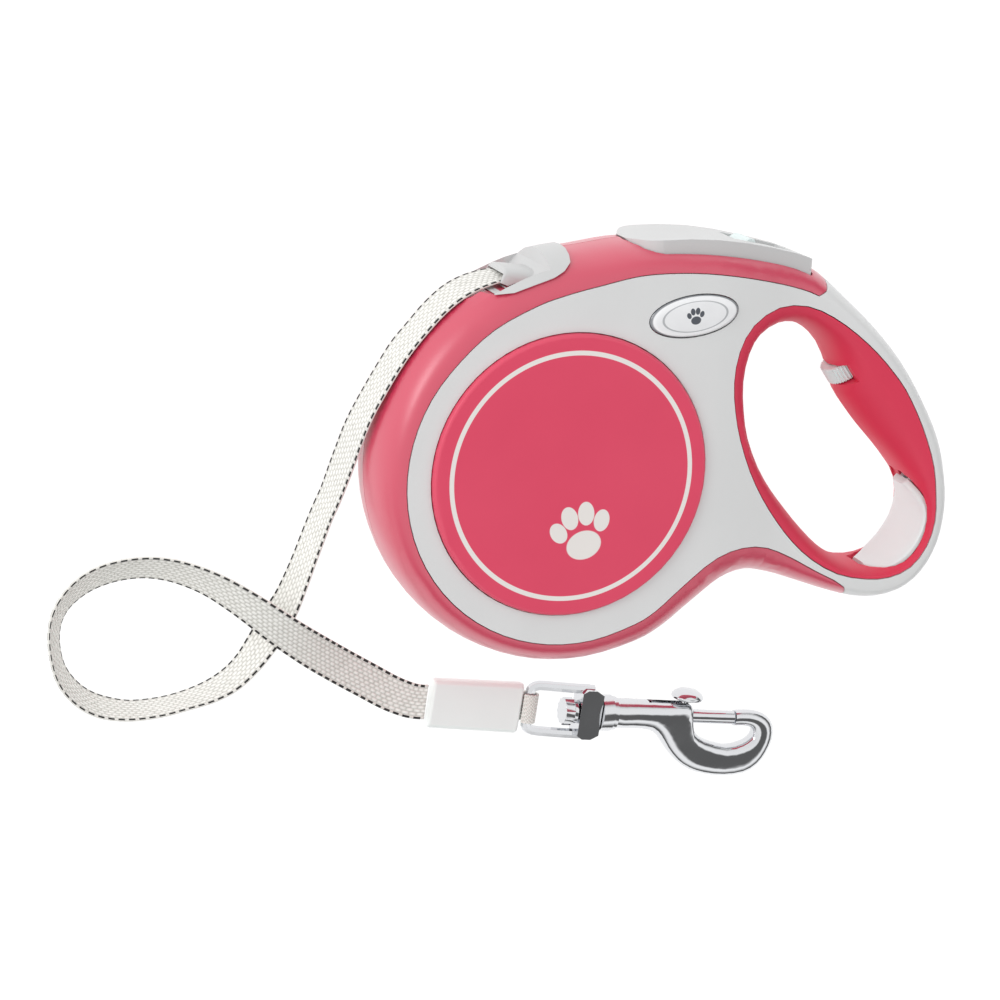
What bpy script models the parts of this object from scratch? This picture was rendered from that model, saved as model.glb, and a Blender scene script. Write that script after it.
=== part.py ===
"""Retractable tape leash lying on its side, built in millimetres and scaled to metres.

The reel axis is the Z axis, and the resting face is at z = 0. The handle points to +X,
and the thumb button is on the +Y side.
"""
import math

import bmesh
import bpy
from mathutils import Matrix, Vector

MM = 0.001
GAP = 0.3

# Casing
MID = 22.0
HALF = 20.0
BAND_STEPS = 6
RIM_CENTRE = (5.2, 2.0)
RIM_RADIUS = 69.2
PLATE_BOTTOM = 40.0
DISC_RADIUS = 47.0
DISC_TOP = 44.0
BADGE_CENTRE = (40.3, 51.4)
BADGE_LONG = 15.5
BADGE_SHORT = 6.8
BADGE_ANGLE = 7.0
BADGE_TOP = 43.2
TAPER_START = 48.0
TAPER_END = 86.0
HANDLE_RATIO = 0.75

# Reel
CHAMBER_RADIUS = 58.6
CHAMBER_HALF = 14.5
AXLE_RADIUS = 4.0
HUB_RADIUS = 31.0
HUB_INNER = 29.0
DRUM_BOTTOM = 9.0
DRUM_FLOOR = 10.8
HUB_TOP = 33.5
FLANGE_RADIUS = 57.0
FLANGE_THICK = 1.5
TEETH = 24
TOOTH_ROOT = 54.5
WOUND_RADIUS = 51.8
TAPE_WIDTH = 12.5
TAPE_THICK = 0.8

# Mouth
HOOD_FOOT = -2.0

# Brake
BUTTON_HALF = 15.0
BUTTON_START = 21.0
BUTTON_END = 85.8
PRESS_TRAVEL = 3.0
LOCK_ANGLE = -15.5
LOCK_POINT = (66.3, 70.9)

# Hand stop, along the grip
GRIP_ANGLE = -55.0
WHEEL_CENTRE = (104.6, 28.9)
WHEEL_RADIUS = 7.2
WHEEL_HALF = 3.0
STOP_TRAVEL = 4.0
STOP_ROOM = [(1, 0.42), (0.78, 0.5), (0.53, 0.56), (0.27, 0.52), (0, 0.44)]

# Hook
HOOK_POINT = (31.0, -95.6)
HOOK_ANGLE = -6.6
HOOK_HEIGHT = 6.8
HOOK_SIDES = 24
# Stations of the hook's body: lower or outer edge, upper or inner edge, half height, roundness.
HOOK_KEYS = [
    (1.5, -5.3, 1.5, 5.3, 5.3, 1), (10, -5.1, 10, 5.3, 5.1, 1), (16.6, -5.4, 18, 5.2, 5, 0.95),
    (20.4, -7.6, 24.4, 5.1, 4.9, 0.8), (24, -11.8, 29.4, 4.9, 4.6, 0.64),
    (28.4, -16, 31.6, 3.6, 4.4, 0.56), (33.6, -19, 33, -3.8, 4.3, 0.6),
    (39.8, -20.7, 37.4, -7.8, 4.3, 0.66), (47.3, -21.2, 46.9, -10.2, 4.3, 0.7),
    (54.8, -20.2, 53, -8.8, 4.2, 0.74), (59.8, -17.4, 55.7, -7, 4, 0.8),
    (63, -12.8, 56.5, -5.6, 3.8, 0.85), (64.8, -7, 56.4, -4.2, 3.6, 0.9),
    (64.2, -2, 55.6, -3.2, 3.4, 0.95), (61.5, 1.2, 54.2, -2.7, 3.2, 1),
    (57.5, 2.8, 52.4, -2.6, 3, 1), (53, 3.1, 50.6, -2.7, 2.9, 1), (48.8, 2.8, 48.8, -2.8, 2.8, 1),
]

SCREW_PLACES = [(61, 55), (57, -22), (95.5, 51.2), (94.5, -42), (131.8, -41.3)]

# Mid-plane outline after the round end: x, y, then how far the flat face lies inside it.
FRONT_KEYS = [
    (39.2, -57.9, 12), (49.4, -50.1, 12.7), (60, -42.8, 13.4), (69, -40.2, 11.7), (79, -41.8, 9.2),
    (90, -45.4, 6.9), (102, -49.5, 5.4), (114, -52.2, 5.2), (126, -50.6, 5.2), (135.5, -44, 5.5),
    (141.5, -33, 5.5), (143.4, -20, 5.5), (142.2, -8, 5.5), (138.5, 5, 5.5), (131.5, 18.5, 5.5),
    (122.5, 32, 5.5), (111.5, 44, 5.5), (101, 53.5, 6), (91, 61.8, 7.5), (80, 67.5, 9),
    (65, 71.2, 9.2), (50, 73.4, 9), (35, 74.3, 9), (20, 74.2, 9.6), (6, 72.2, 10.5),
    (-7, 70.4, 11.8),
]
# Grip liner: outer x, y and inner x, y of matching stations round the hand hole.
LINER_KEYS = [
    (109.9, 35.4, 100, 27), (116, 29.1, 102.4, 19.6), (121.2, 22.8, 107.8, 12.2),
    (126.5, 14, 113.3, 5.9), (131, 4.5, 119.4, -0.2), (134.4, -5, 125.2, -6.6),
    (136, -15, 131.5, -14.8), (136.4, -24, 133, -23.5), (134, -32.8, 131.5, -31),
    (128.5, -39.8, 127, -37.2), (120.5, -43, 120.5, -40.2), (111.5, -43, 112.9, -40.5),
    (101, -40.6, 105, -37.8), (91, -35, 98, -33.2), (83.2, -28.2, 90.6, -26.2),
    (76.5, -20.5, 84, -18.9), (70, -11.6, 77.4, -11), (64.5, -2, 71.6, -2.8), (60, 9, 66.6, 8),
    (57.5, 18.5, 64.6, 17.6), (56.3, 28.5, 64, 27.8), (57.7, 38.6, 65.8, 36.4),
    (62.5, 47, 69.2, 41.6), (72, 52.3, 75.2, 44.7), (83, 52.2, 82.6, 45),
    (92.7, 48.2, 89.9, 41.8), (101.8, 42.2, 96.2, 35.6),
]
TOP_TIP = (90, 57)
BOTTOM_TIP = (104, -45.6)

# Free tape: x, y, z of its centre line, then its lean in degrees from lying flat.
TAPE_KEYS = [
    (-15.4, 61, 22, 88), (-20.4, 62.6, 22.4, 82), (-28.8, 61.3, 24.4, 77), (-36.6, 58.2, 26.2, 74),
    (-43, 53.1, 26.6, 74), (-49, 46.4, 26.6, 75), (-53.9, 40.4, 26.6, 74), (-57.6, 34.4, 26.2, 75),
    (-61, 28.1, 25.6, 75), (-64.2, 20.8, 23.8, 75), (-66.6, 13, 21, 73), (-68.2, 5, 17.6, 72),
    (-69.8, -3.4, 13.9, 72), (-71.5, -11.4, 10.8, 73), (-73.3, -17.6, 8.6, 72),
    (-75.6, -25.2, 7.1, 70), (-78.2, -33, 6.5, 69), (-80.9, -40.4, 6.3, 66),
    (-84, -48.2, 5.9, 60), (-88, -55.7, 5.2, 51), (-92.6, -62.8, 5.6, 57), (-97.3, -68.8, 6.2, 66),
    (-103, -74, 6.4, 70), (-110, -77.6, 6.6, 75), (-118.4, -80, 6.7, 80), (-126.8, -81.6, 6.7, 79),
    (-136.3, -82, 6.6, 76), (-144.8, -80.4, 6.4, 70), (-151, -77.4, 6.3, 68), (-155.9, -72.8, 6.2, 67),
    (-159.2, -67.2, 6.2, 67), (-160.9, -60, 6.2, 66), (-161, -53.2, 6, 62), (-159.5, -47.6, 5.7, 56),
    (-156.4, -43, 5.3, 50), (-151.4, -38.8, 4.9, 44), (-145.4, -36, 4.7, 41),
    (-138.2, -34.4, 4.8, 41), (-130.4, -34, 5.3, 41), (-122.8, -35.1, 6.4, 41),
    (-115.7, -37.3, 8.2, 40), (-109.2, -40.2, 10.4, 38), (-102.6, -44.2, 12.6, 34),
    (-95.8, -49, 14, 28), (-88.4, -54.9, 13.7, 19), (-81, -60.6, 11.8, 11), (-73.2, -66.4, 8.8, 2),
    (-64, -72.8, 5.6, -3), (-55, -78.6, 3.8, -4), (-47, -83.6, 3, -2), (-40.6, -86.6, 3, 0),
    (-36.8, -87.7, 3, 0), (-33.7, -88.1, 3, 0),
]


def material(name, colour, roughness, metallic=0.0):
    shade = bpy.data.materials.new(name)
    shade.use_nodes = True
    node = shade.node_tree.nodes["Principled BSDF"]
    node.inputs["Base Color"].default_value = (*colour, 1.0)
    node.inputs["Roughness"].default_value = roughness
    node.inputs["Metallic"].default_value = metallic
    shade.diffuse_color = (*colour, 1.0)
    return shade


def blend(a, b, t):
    return tuple(p + (q - p) * t for p, q in zip(a, b))


def spline_point(a, b, c, d, t):
    """One point of a Catmull-Rom curve between b and c."""
    values = []
    for p, q, r, s in zip(a, b, c, d):
        cubic = -p + 3 * q - 3 * r + s
        square = 2 * p - 5 * q + 4 * r - s
        values.append(0.5 * (2 * q + (r - p) * t + square * t * t + cubic * t ** 3))
    return tuple(values)


def smooth_loop(keys, steps):
    count = len(keys)
    points = []
    for i in range(count):
        around = [keys[(i + k) % count] for k in (-1, 0, 1, 2)]
        points += [spline_point(*around, step / steps) for step in range(steps)]
    return points


def smooth_path(keys, steps):
    points = []
    for i in range(len(keys) - 1):
        around = [keys[min(max(i + k, 0), len(keys) - 1)] for k in (-1, 0, 1, 2)]
        points += [spline_point(*around, step / steps) for step in range(steps)]
    points.append(tuple(keys[-1]))
    return points


def arc(centre, radius, start, end, steps):
    points = []
    for i in range(steps + 1):
        angle = math.radians(start + (end - start) * i / steps)
        points.append((centre[0] + radius * math.cos(angle), centre[1] + radius * math.sin(angle)))
    return points


def circle(centre, radius, steps):
    return arc(centre, radius, 0, 360, steps)[:-1]


def offset_loop(points, distance):
    """Moves a counter-clockwise outline outwards, keeping its walls parallel."""
    moved = []
    count = len(points)
    for i in range(count):
        before, here, after = (Vector(points[(i + k) % count][:2]) for k in (-1, 0, 1))
        first = (here - before).normalized()
        second = (after - here).normalized()
        normal = Vector((first.y + second.y, -first.x - second.x)).normalized()
        stretch = max(0.4, normal.dot(Vector((first.y, -first.x))))
        moved.append(tuple(here + normal * distance / stretch))
    return moved


def turn(point, degrees):
    angle = math.radians(degrees)
    x, y = point
    return (x * math.cos(angle) - y * math.sin(angle), x * math.sin(angle) + y * math.cos(angle))


def on_grip(along, across):
    """A point given along the grip's inner wall and into the grip."""
    x, y = turn((along, across), GRIP_ANGLE)
    return (WHEEL_CENTRE[0] + x, WHEEL_CENTRE[1] + y)


def on_hook(along, across):
    x, y = turn((along, across), HOOK_ANGLE)
    return (HOOK_POINT[0] + x, HOOK_POINT[1] + y)


def mesh_object(name, build):
    mesh = bpy.data.meshes.new(name)
    bmesh.ops.recalc_face_normals(build, faces=build.faces[:])
    build.to_mesh(mesh)
    build.free()
    made = bpy.data.objects.new(name, mesh)
    bpy.context.scene.collection.objects.link(made)
    return made


def prism(name, outline, bottom, top):
    build = bmesh.new()
    base = build.faces.new([build.verts.new((x * MM, y * MM, bottom * MM)) for x, y in outline])
    grown = bmesh.ops.extrude_face_region(build, geom=[base])["geom"]
    raised = [item for item in grown if isinstance(item, bmesh.types.BMVert)]
    bmesh.ops.translate(build, verts=raised, vec=(0, 0, (top - bottom) * MM))
    return mesh_object(name, build)


def rings(name, loops, closed=False):
    """Skins matching loops of points; closed joins the last loop to the first."""
    build = bmesh.new()
    rows = [[build.verts.new(Vector(p) * MM) for p in loop] for loop in loops]
    count = len(loops[0])
    pairs = list(zip(rows, rows[1:] + rows[:1])) if closed else list(zip(rows, rows[1:]))
    for low, high in pairs:
        for i in range(count):
            j = (i + 1) % count
            build.faces.new((low[i], low[j], high[j], high[i]))
    if not closed:
        build.faces.new(rows[0])
        build.faces.new(rows[-1])
    return mesh_object(name, build)


def turned(name, profile, steps=64):
    """A closed profile of radius and height, turned round the Z axis."""
    mesh = bpy.data.meshes.new(name)
    edges = [(i, (i + 1) % len(profile)) for i in range(len(profile))]
    mesh.from_pydata([(r * MM, 0, z * MM) for r, z in profile], edges, [])
    made = bpy.data.objects.new(name, mesh)
    bpy.context.scene.collection.objects.link(made)
    screw = made.modifiers.new("Screw", "SCREW")
    screw.steps = steps
    screw.render_steps = steps
    screw.use_merge_vertices = True
    screw.merge_threshold = 0.00001
    freeze(made)
    return made


def rod(name, radius, start, end, sides=32):
    """A cylinder between two points."""
    line = Vector(end) - Vector(start)
    build = bmesh.new()
    bmesh.ops.create_cone(build, cap_ends=True, segments=sides, radius1=radius * MM,
                          radius2=radius * MM, depth=line.length * MM)
    spin = line.to_track_quat("Z", "Y").to_matrix().to_4x4()
    centre = (Vector(start) + Vector(end)) * 0.5 * MM
    bmesh.ops.transform(build, matrix=Matrix.Translation(centre) @ spin, verts=build.verts[:])
    return mesh_object(name, build)


def ribbed(name, radius, depth, ridges, start, end):
    """A cylinder between two points with grooves along its side."""
    outline = []
    for i in range(ridges * 2):
        reach = radius if i % 2 else radius - depth
        angle = math.pi * i / ridges
        outline.append((reach * math.cos(angle), reach * math.sin(angle)))
    line = Vector(end) - Vector(start)
    made = prism(name, outline, 0, line.length)
    spin = line.to_track_quat("Z", "Y").to_matrix().to_4x4()
    made.data.transform(Matrix.Translation(Vector(start) * MM) @ spin)
    return made


def wire(name, points, radius, sizes=None, closed=False, detail=2):
    curve = bpy.data.curves.new(name, "CURVE")
    curve.dimensions = "3D"
    curve.bevel_depth = radius * MM
    curve.bevel_resolution = detail
    curve.use_fill_caps = not closed
    spline = curve.splines.new("POLY")
    spline.points.add(len(points) - 1)
    spline.use_cyclic_u = closed
    for i, point in enumerate(points):
        spline.points[i].co = (*(value * MM for value in point), 1)
        spline.points[i].radius = sizes[i] if sizes else 1.0
    made = bpy.data.objects.new(name, curve)
    bpy.context.scene.collection.objects.link(made)
    return curve_mesh(made)


def curve_mesh(made):
    graph = bpy.context.evaluated_depsgraph_get()
    mesh = bpy.data.meshes.new_from_object(made.evaluated_get(graph))
    name = made.name
    bpy.data.objects.remove(made)
    build = bmesh.new()
    build.from_mesh(mesh)
    bpy.data.meshes.remove(mesh)
    bmesh.ops.remove_doubles(build, verts=build.verts[:], dist=0.000005)
    return mesh_object(name, build)


def freeze(made):
    """Makes the object's modifiers part of its mesh."""
    bpy.context.view_layer.update()
    graph = bpy.context.evaluated_depsgraph_get()
    mesh = bpy.data.meshes.new_from_object(made.evaluated_get(graph))
    made.modifiers.clear()
    made.data = mesh
    build = bmesh.new()
    build.from_mesh(mesh)
    bmesh.ops.remove_doubles(build, verts=build.verts[:], dist=0.000002)
    bmesh.ops.dissolve_degenerate(build, edges=build.edges[:], dist=0.000002)
    bmesh.ops.recalc_face_normals(build, faces=build.faces[:])
    build.to_mesh(mesh)
    build.free()


def combine(made, others, operation):
    for other in others:
        step = made.modifiers.new("Boolean", "BOOLEAN")
        step.operation = operation
        step.solver = "EXACT"
        step.object = other
        freeze(made)
        bpy.data.objects.remove(other)
    return made


def cut(made, *others):
    return combine(made, others, "DIFFERENCE")


def join(made, *others):
    return combine(made, others, "UNION")


def keep_inside(made, *others):
    return combine(made, others, "INTERSECT")


def duplicate(made, name):
    other = bpy.data.objects.new(name, made.data.copy())
    bpy.context.scene.collection.objects.link(other)
    return other


def flipped(made, name):
    """The same piece on the other side of the mid-plane."""
    other = duplicate(made, name)
    for vertex in other.data.vertices:
        vertex.co.z = 2 * MID * MM - vertex.co.z
    other.data.flip_normals()
    return other


def thickness_ratio(x):
    t = min(max((x - TAPER_START) / (TAPER_END - TAPER_START), 0), 1)
    return 1 - (1 - HANDLE_RATIO) * t * t * (3 - 2 * t)


def squeeze(made):
    """Thins the casing smoothly from the reel to the handle."""
    build = bmesh.new()
    build.from_mesh(made.data)
    steps = 12
    for i in range(steps + 1):
        x = TAPER_START + (TAPER_END - TAPER_START) * i / steps
        everything = build.verts[:] + build.edges[:] + build.faces[:]
        bmesh.ops.bisect_plane(build, geom=everything, dist=0.000001, plane_co=(x * MM, 0, 0),
                               plane_no=(1, 0, 0))
    for vertex in build.verts:
        ratio = thickness_ratio(vertex.co.x / MM)
        vertex.co.z = MID * MM + (vertex.co.z - MID * MM) * ratio
    bmesh.ops.triangulate(build, faces=build.faces[:])
    build.to_mesh(made.data)
    build.free()
    return made


def rim_keys():
    keys = []
    for degrees in range(110, 291, 15):
        angle = math.radians(degrees)
        inset = 13.1 + 4 * math.cos(angle) + 3.1 * math.sin(angle)
        x = RIM_CENTRE[0] + RIM_RADIUS * math.cos(angle)
        y = RIM_CENTRE[1] + RIM_RADIUS * math.sin(angle)
        keys.append((x, y, min(inset, 12.2)))
    return keys + FRONT_KEYS


def body_loops(grow=0.0):
    """Outlines of the casing from its lower face to its upper face."""
    stations = smooth_loop(rim_keys(), 3)
    outline = offset_loop(stations, grow)
    loops = []
    for layer in range(-BAND_STEPS, BAND_STEPS + 1):
        angle = math.radians(90 * layer / BAND_STEPS)
        inward = 1 - math.cos(angle)
        height = math.sin(angle)
        loop = []
        inner = [offset_pair(stations, outline, i, inward) for i in range(len(stations))]
        for x, y in inner:
            loop.append((x, y, MID + (HALF + grow) * height))
        loops.append(loop)
    return loops


def offset_pair(stations, outline, i, share):
    count = len(stations)
    before, after = Vector(outline[i - 1]), Vector(outline[(i + 1) % count])
    along = (after - before).normalized()
    normal = Vector((along.y, -along.x))
    inset = stations[i][2] * share
    return (outline[i][0] - normal.x * inset, outline[i][1] - normal.y * inset)


def liner_stations():
    return smooth_loop(LINER_KEYS[::-1], 2)


def casing_block(name, grow=0.0):
    return rings(name, body_loops(grow))


def plate_outline():
    """Outline of the side frame: the flat face, then out past the handle."""
    face = [(x, y) for x, y, z in body_loops()[-1]]
    left = [p for p in face if p[0] < TOP_TIP[0] - 1 or p[1] < 0 and p[0] < BOTTOM_TIP[0] - 1]
    start = max(range(len(left)), key=lambda i: left[i][0] if left[i][1] > 0 else -999)
    left = left[start:] + left[:start]
    outside = [(112, -60), (150, -60), (150, 66), (97, 66)]
    return [TOP_TIP] + left + [BOTTOM_TIP] + outside


def strip_outline():
    return [TOP_TIP, (86, 45), (99, 0), (99, -38), BOTTOM_TIP, (112, -60), (150, -60),
            (150, 66), (97, 66)]


def frame_zone(name, spread, bottom):
    zone = prism(name, offset_loop(plate_outline(), spread), bottom, 60)
    strip = prism("strip", offset_loop(strip_outline(), spread), -10, 60)
    return join(zone, strip)


def button_outline(drop=0.0, spread=0.0):
    low = [(24, 70.8), (30, 68.5), (45, 66.5), (60, 64), (75, 60.8), (85.3, 58.8)]
    if spread:
        sides = [(BUTTON_END + spread, 58.8 - drop), (BUTTON_END + spread, 95),
                 (BUTTON_START - spread, 95), (BUTTON_START - spread, 71 - drop)]
        return [(x, y - drop) for x, y in low[:-1]] + sides
    top = [(BUTTON_END, 67.4), (80, 69.4), (70, 71.8), (60, 73.8), (50, 75.1), (40, 75.6),
           (30, 75.4), (24, 75), (BUTTON_START, 74.6)]
    return low + top


def button_block(name, drop=0.0, spread=0.0):
    side = prism(name, button_outline(drop, spread), -5, 55)
    wide = BUTTON_HALF + spread
    plan = [(BUTTON_START - spread, 0), (BUTTON_START + 0.2 - spread, -wide * 0.26),
            (22.8 - spread, -wide * 0.52), (25.2 - spread, -wide * 0.8), (27.8, -wide * 0.94),
            (31, -wide), (BUTTON_END - 1.2 + spread, -wide * 0.98),
            (BUTTON_END + 0.2 + spread, -wide * 0.85)]
    plan += [(x, -y) for x, y in reversed(plan[1:])]
    top = prism("plan", plan, 40, 100)
    for vertex in top.data.vertices:
        x, y, z = vertex.co
        vertex.co = (x, z, y + MID * MM)
    top.data.flip_normals()
    return keep_inside(side, top)


def guide_zone(name, spread):
    outline = [(-33, 60), (-26.5, 59.2), (-21, 60.1), (-14, 62.6), (-8, 64.6), (-4, 66.6),
               (-1.2, 69), (0.2, 72), (0.4, 80), (-34, 80)]
    return prism(name, offset_loop(outline, spread), -5, 50)


def slot_prism(name, spread=0.0):
    """The tape's way from the reel chamber out through the mouth."""
    lower = [(-2, 53.8), (-10, 57), (-16, 59.5), (-22, 60.8), (-27, 60.6)]
    upper = [(-27, 64.6), (-20.5, 64.2), (-15.5, 62.5), (-10, 60.4), (-3, 57.6)]
    return prism(name, lower + upper, MID - 7.6 - spread, MID + 7.6 + spread)


def trough_prism(name, low, high):
    """The open step in front of the mouth, where the tape bends round the rim."""
    outline = [(-6.6, 80), (-40, 80), (-40, 54.6), (-37, 55.9), (-34, 57.1), (-30, 58.4),
               (-26, 59.3), (-21.5, 60), (-16, 61.4), (-11.5, 63.7), (-8.4, 66.8)]
    return prism(name, outline, MID + low, MID + high)


def mouth_hood(name):
    """A rounded hood that rises from the step over the tape."""
    direction = Vector((-0.93, 0.36))
    normal = Vector((0.36, 0.93))
    keys = [(8.2, 2.4, 8.2), (7.4, 3.2, 8.8), (3, 4.4, 9.1), (-2, 5.7, 9.2), (-8, 7.4, 9.2)]
    loops = []
    for reach, high, half in smooth_path(keys, 2):
        centre = Vector((-14, 60.4)) + direction * reach
        section = []
        for degrees in range(0, 181, 15):
            angle = math.radians(degrees)
            share = math.copysign(abs(math.cos(angle)) ** 0.5, math.cos(angle))
            spot = centre + normal * (HOOD_FOOT + (high - HOOD_FOOT) * math.sin(angle) ** 0.5)
            section.append((spot.x, spot.y, MID + half * share))
        loops.append(section)
    return rings(name, loops)


def build_casing(red, grey, clear):
    block = casing_block("block")
    upper_half = prism("half", [(-90, -90), (170, -90), (170, 110), (-90, 110)], MID + GAP / 2, 60)
    keep_inside(block, upper_half)
    liner_hole = offset_loop([(p[0], p[1]) for p in liner_stations()], GAP)
    badge_outline = oval(BADGE_CENTRE, BADGE_LONG, BADGE_SHORT, BADGE_ANGLE, 40)

    shell = duplicate(block, "upper_shell")
    chamber = prism("chamber", circle((0, 0), CHAMBER_RADIUS, 64), MID - 5, MID + CHAMBER_HALF)
    cut(shell, frame_zone("zone", GAP, PLATE_BOTTOM - GAP), chamber,
        prism("hole", liner_hole, -5, 60), button_block("pocket", PRESS_TRAVEL + 0.4, 0.4))
    pocket = keep_inside(casing_block("pocket", 2), guide_zone("zone", GAP))
    cut(shell, pocket, slot_prism("slot", 0.4), trough_prism("trough", -8.4, 10.4))
    squeeze(shell)

    frame = duplicate(block, "upper_frame")
    bpy.data.objects.remove(block)
    keep_inside(frame, frame_zone("zone", 0, PLATE_BOTTOM))
    cut(frame, prism("hole", liner_hole, -5, 60),
        prism("disc", circle((0, 0), DISC_RADIUS + GAP, 72), 30, 60),
        prism("oval", offset_loop(badge_outline, GAP), 30, 60))
    squeeze(frame)

    disc = turned("upper_disc", [(0, DISC_TOP), (45.6, DISC_TOP), (46.6, DISC_TOP - 0.4),
                                 (47, DISC_TOP - 1.4), (47, PLATE_BOTTOM), (0, PLATE_BOTTOM)], 56)
    badge = dome("upper_badge", PLATE_BOTTOM, BADGE_TOP)

    lower_shell = flipped(shell, "lower_shell")
    lower_frame = flipped(frame, "lower_frame")
    lower_disc = flipped(disc, "lower_disc")
    lower_badge = flipped(badge, "lower_badge")
    finish_shells(shell, lower_shell, frame, lower_frame)
    build_guide(grey)
    paint((shell, lower_shell), red)
    paint((frame, lower_frame), grey)
    paint((disc, lower_disc), red)
    paint((badge, lower_badge), clear)


def oval(centre, long_half, short_half, degrees, steps):
    points = []
    for x, y in circle((0, 0), 1, steps):
        px, py = turn((x * long_half, y * short_half), degrees)
        points.append((centre[0] + px, centre[1] + py))
    return points


def dome(name, bottom, top):
    """The oval badge, domed over its foot."""
    loops = []
    for share, height in ((1, 0), (1, 0.56), (0.96, 0.74), (0.86, 0.87), (0.66, 0.96), (0.36, 1)):
        line = oval(BADGE_CENTRE, BADGE_LONG * share, BADGE_SHORT * share, BADGE_ANGLE, 40)
        loops.append([(x, y, bottom + (top - bottom) * height) for x, y in line])
    return rings(name, loops)


def finish_shells(shell, lower_shell, frame, lower_frame):
    """Round bores, the pawl's way and the spring's seat, cut at their true size."""
    for place in SCREW_PLACES:
        cut(shell, rod("bore", 1.6, (*place, 15), (*place, 31), 16))
        cut(frame, rod("bore", 1.6, (*place, 15), (*place, 31), 16))
        for piece in (lower_shell, lower_frame):
            cut(piece, rod("bore", 1.6, (*place, -5), (*place, 30), 16))
            cut(piece, rod("bore", 2.9, (*place, -5), (*place, 14), 20))
    for piece, low, high in ((shell, MID, 37.9), (lower_shell, 6.1, MID)):
        cut(piece, rod("seat", AXLE_RADIUS + GAP, (0, 0, low), (0, 0, high), 40))
        cut(piece, rod("seat", 4, (52, 54.2, MID), (52, 66, MID), 24))
    cut(shell, box("way", (22.1, 48, 28.6), (27.9, 68, 36.45)))
    for piece in (frame, lower_frame):
        cut(piece, wheel_pocket(), *stop_cutters())


def box(name, low, high):
    outline = [(low[0], low[1]), (high[0], low[1]), (high[0], high[1]), (low[0], high[1])]
    return prism(name, outline, low[2], high[2])


def build_guide(grey):
    guide = casing_block("mouth_guide", 0.8)
    keep_inside(guide, guide_zone("zone", 0))
    chamber = prism("chamber", circle((0, 0), CHAMBER_RADIUS + 1.5, 64), -5, 60)
    cut(guide, trough_prism("trough", -15.5, 15.5))
    join(guide, keep_inside(mouth_hood("hood"), guide_zone("zone", -0.15)))
    cut(guide, slot_prism("slot"), chamber)
    paint((guide,), grey)


def wheel_pocket():
    return rod("pocket", WHEEL_RADIUS + 0.5, (*on_grip(-3.5, 0), MID), (*on_grip(3.5, 0), MID), 48)


def build_liner(red):
    loops = []
    for ox, oy, ix, iy in liner_stations():
        height = HALF * thickness_ratio(ox) - 0.2
        section = []
        for share, level in ((0, 1), (0.3, 0.975), (0.55, 0.87), (0.78, 0.66), (0.93, 0.38),
                             (1, 0)):
            section.append((share, level))
        section += [(share, -level) for share, level in reversed(section[:-1])]
        loop = [(*blend((ox, oy), (ix, iy), s), MID + height * level) for s, level in section]
        loops.append(loop)
    liner = rings("grip_liner", loops, closed=True)
    window = prism("window", [on_grip(*p) for p in ((-3.5, -12), (3.5, -12), (3.5, -1.2), (-3.5, -1.2))],
                   MID - HALF, MID + HALF)
    cut(liner, *stop_cutters(), window, wheel_pocket())
    paint((liner,), red)


def stop_loops(grow=0.0, slid=0.0):
    """Sections of the hand stop along the hole's edge, each with its own height."""
    keys = [(48.2, -4.6, 4.1), (50.6, -4.3, 6.9), (53.8, -4.4, 9.6), (57.8, -5.6, 11.8),
            (62.4, -10.4, 12.3), (65.4, -17.4, 12.3), (66, -23.6, 11.2), (65.4, -27.6, 8.6),
            (63.6, -30.6, 4.6)]
    edge = smooth_path(keys, 2)
    loops = []
    for i, (along, across, tall) in enumerate(edge):
        before = Vector(edge[max(i - 1, 0)][:2])
        after = Vector(edge[min(i + 1, len(edge) - 1)][:2])
        way = (after - before).normalized()
        back = Vector((-way.y, way.x))
        end = (i == len(edge) - 1) - (i == 0)
        centre = Vector((along - slid, across)) + way * end * grow
        section = []
        for depth, level in ((2.6, 1), (1.3, 1), (0.4, 0.92), (0, 0.7), (0, -0.7), (0.4, -0.92),
                             (1.3, -1), (2.6, -1)):
            deep = depth + grow if depth > 2 else depth - grow
            spot = centre + back * deep
            high = tall * level + math.copysign(grow, level)
            section.append((*on_grip(spot.x, spot.y), MID + high))
        loops.append(section)
    return loops


def stop_cutters():
    """Room for the sliding hand stop, its arm and its screw."""
    ways = [rings("recess", stop_loops(room, STOP_TRAVEL * share)) for share, room in STOP_ROOM]
    arm = [on_grip(*p) for p in ((44.2, -3.2), (52.9, -3.2), (52.9, 3.9), (44.2, 3.9))]
    return ways + [prism("way", arm, MID - 4.3, MID + 4.3),
                   rod("bore", 1.9, (*on_grip(-5, 0), MID), (*on_grip(54, 0), MID), 16)]


def build_hand_stop(grey, steel):
    stop = rings("hand_stop", stop_loops())
    arm = prism("arm", [on_grip(*p) for p in ((48.8, -2.8), (52.4, -2.8), (52.4, 3.4), (48.8, 3.4))],
                MID - 3.8, MID + 3.8)
    join(stop, arm)
    cut(stop, rod("bore", 1.9, (*on_grip(40, 0), MID), (*on_grip(55, 0), MID), 16))
    wheel = ribbed("adjuster_wheel", WHEEL_RADIUS, 0.6, 40, (*on_grip(-WHEEL_HALF, 0), MID),
                   (*on_grip(WHEEL_HALF, 0), MID))
    cut(wheel, rod("bore", 1.85, (*on_grip(-5, 0), MID), (*on_grip(5, 0), MID), 16))
    screw = rod("adjuster_screw", 1.5, (*on_grip(-4.6, 0), MID), (*on_grip(53.4, 0), MID), 16)
    paint((stop, wheel), grey)
    paint((screw,), steel)


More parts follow.
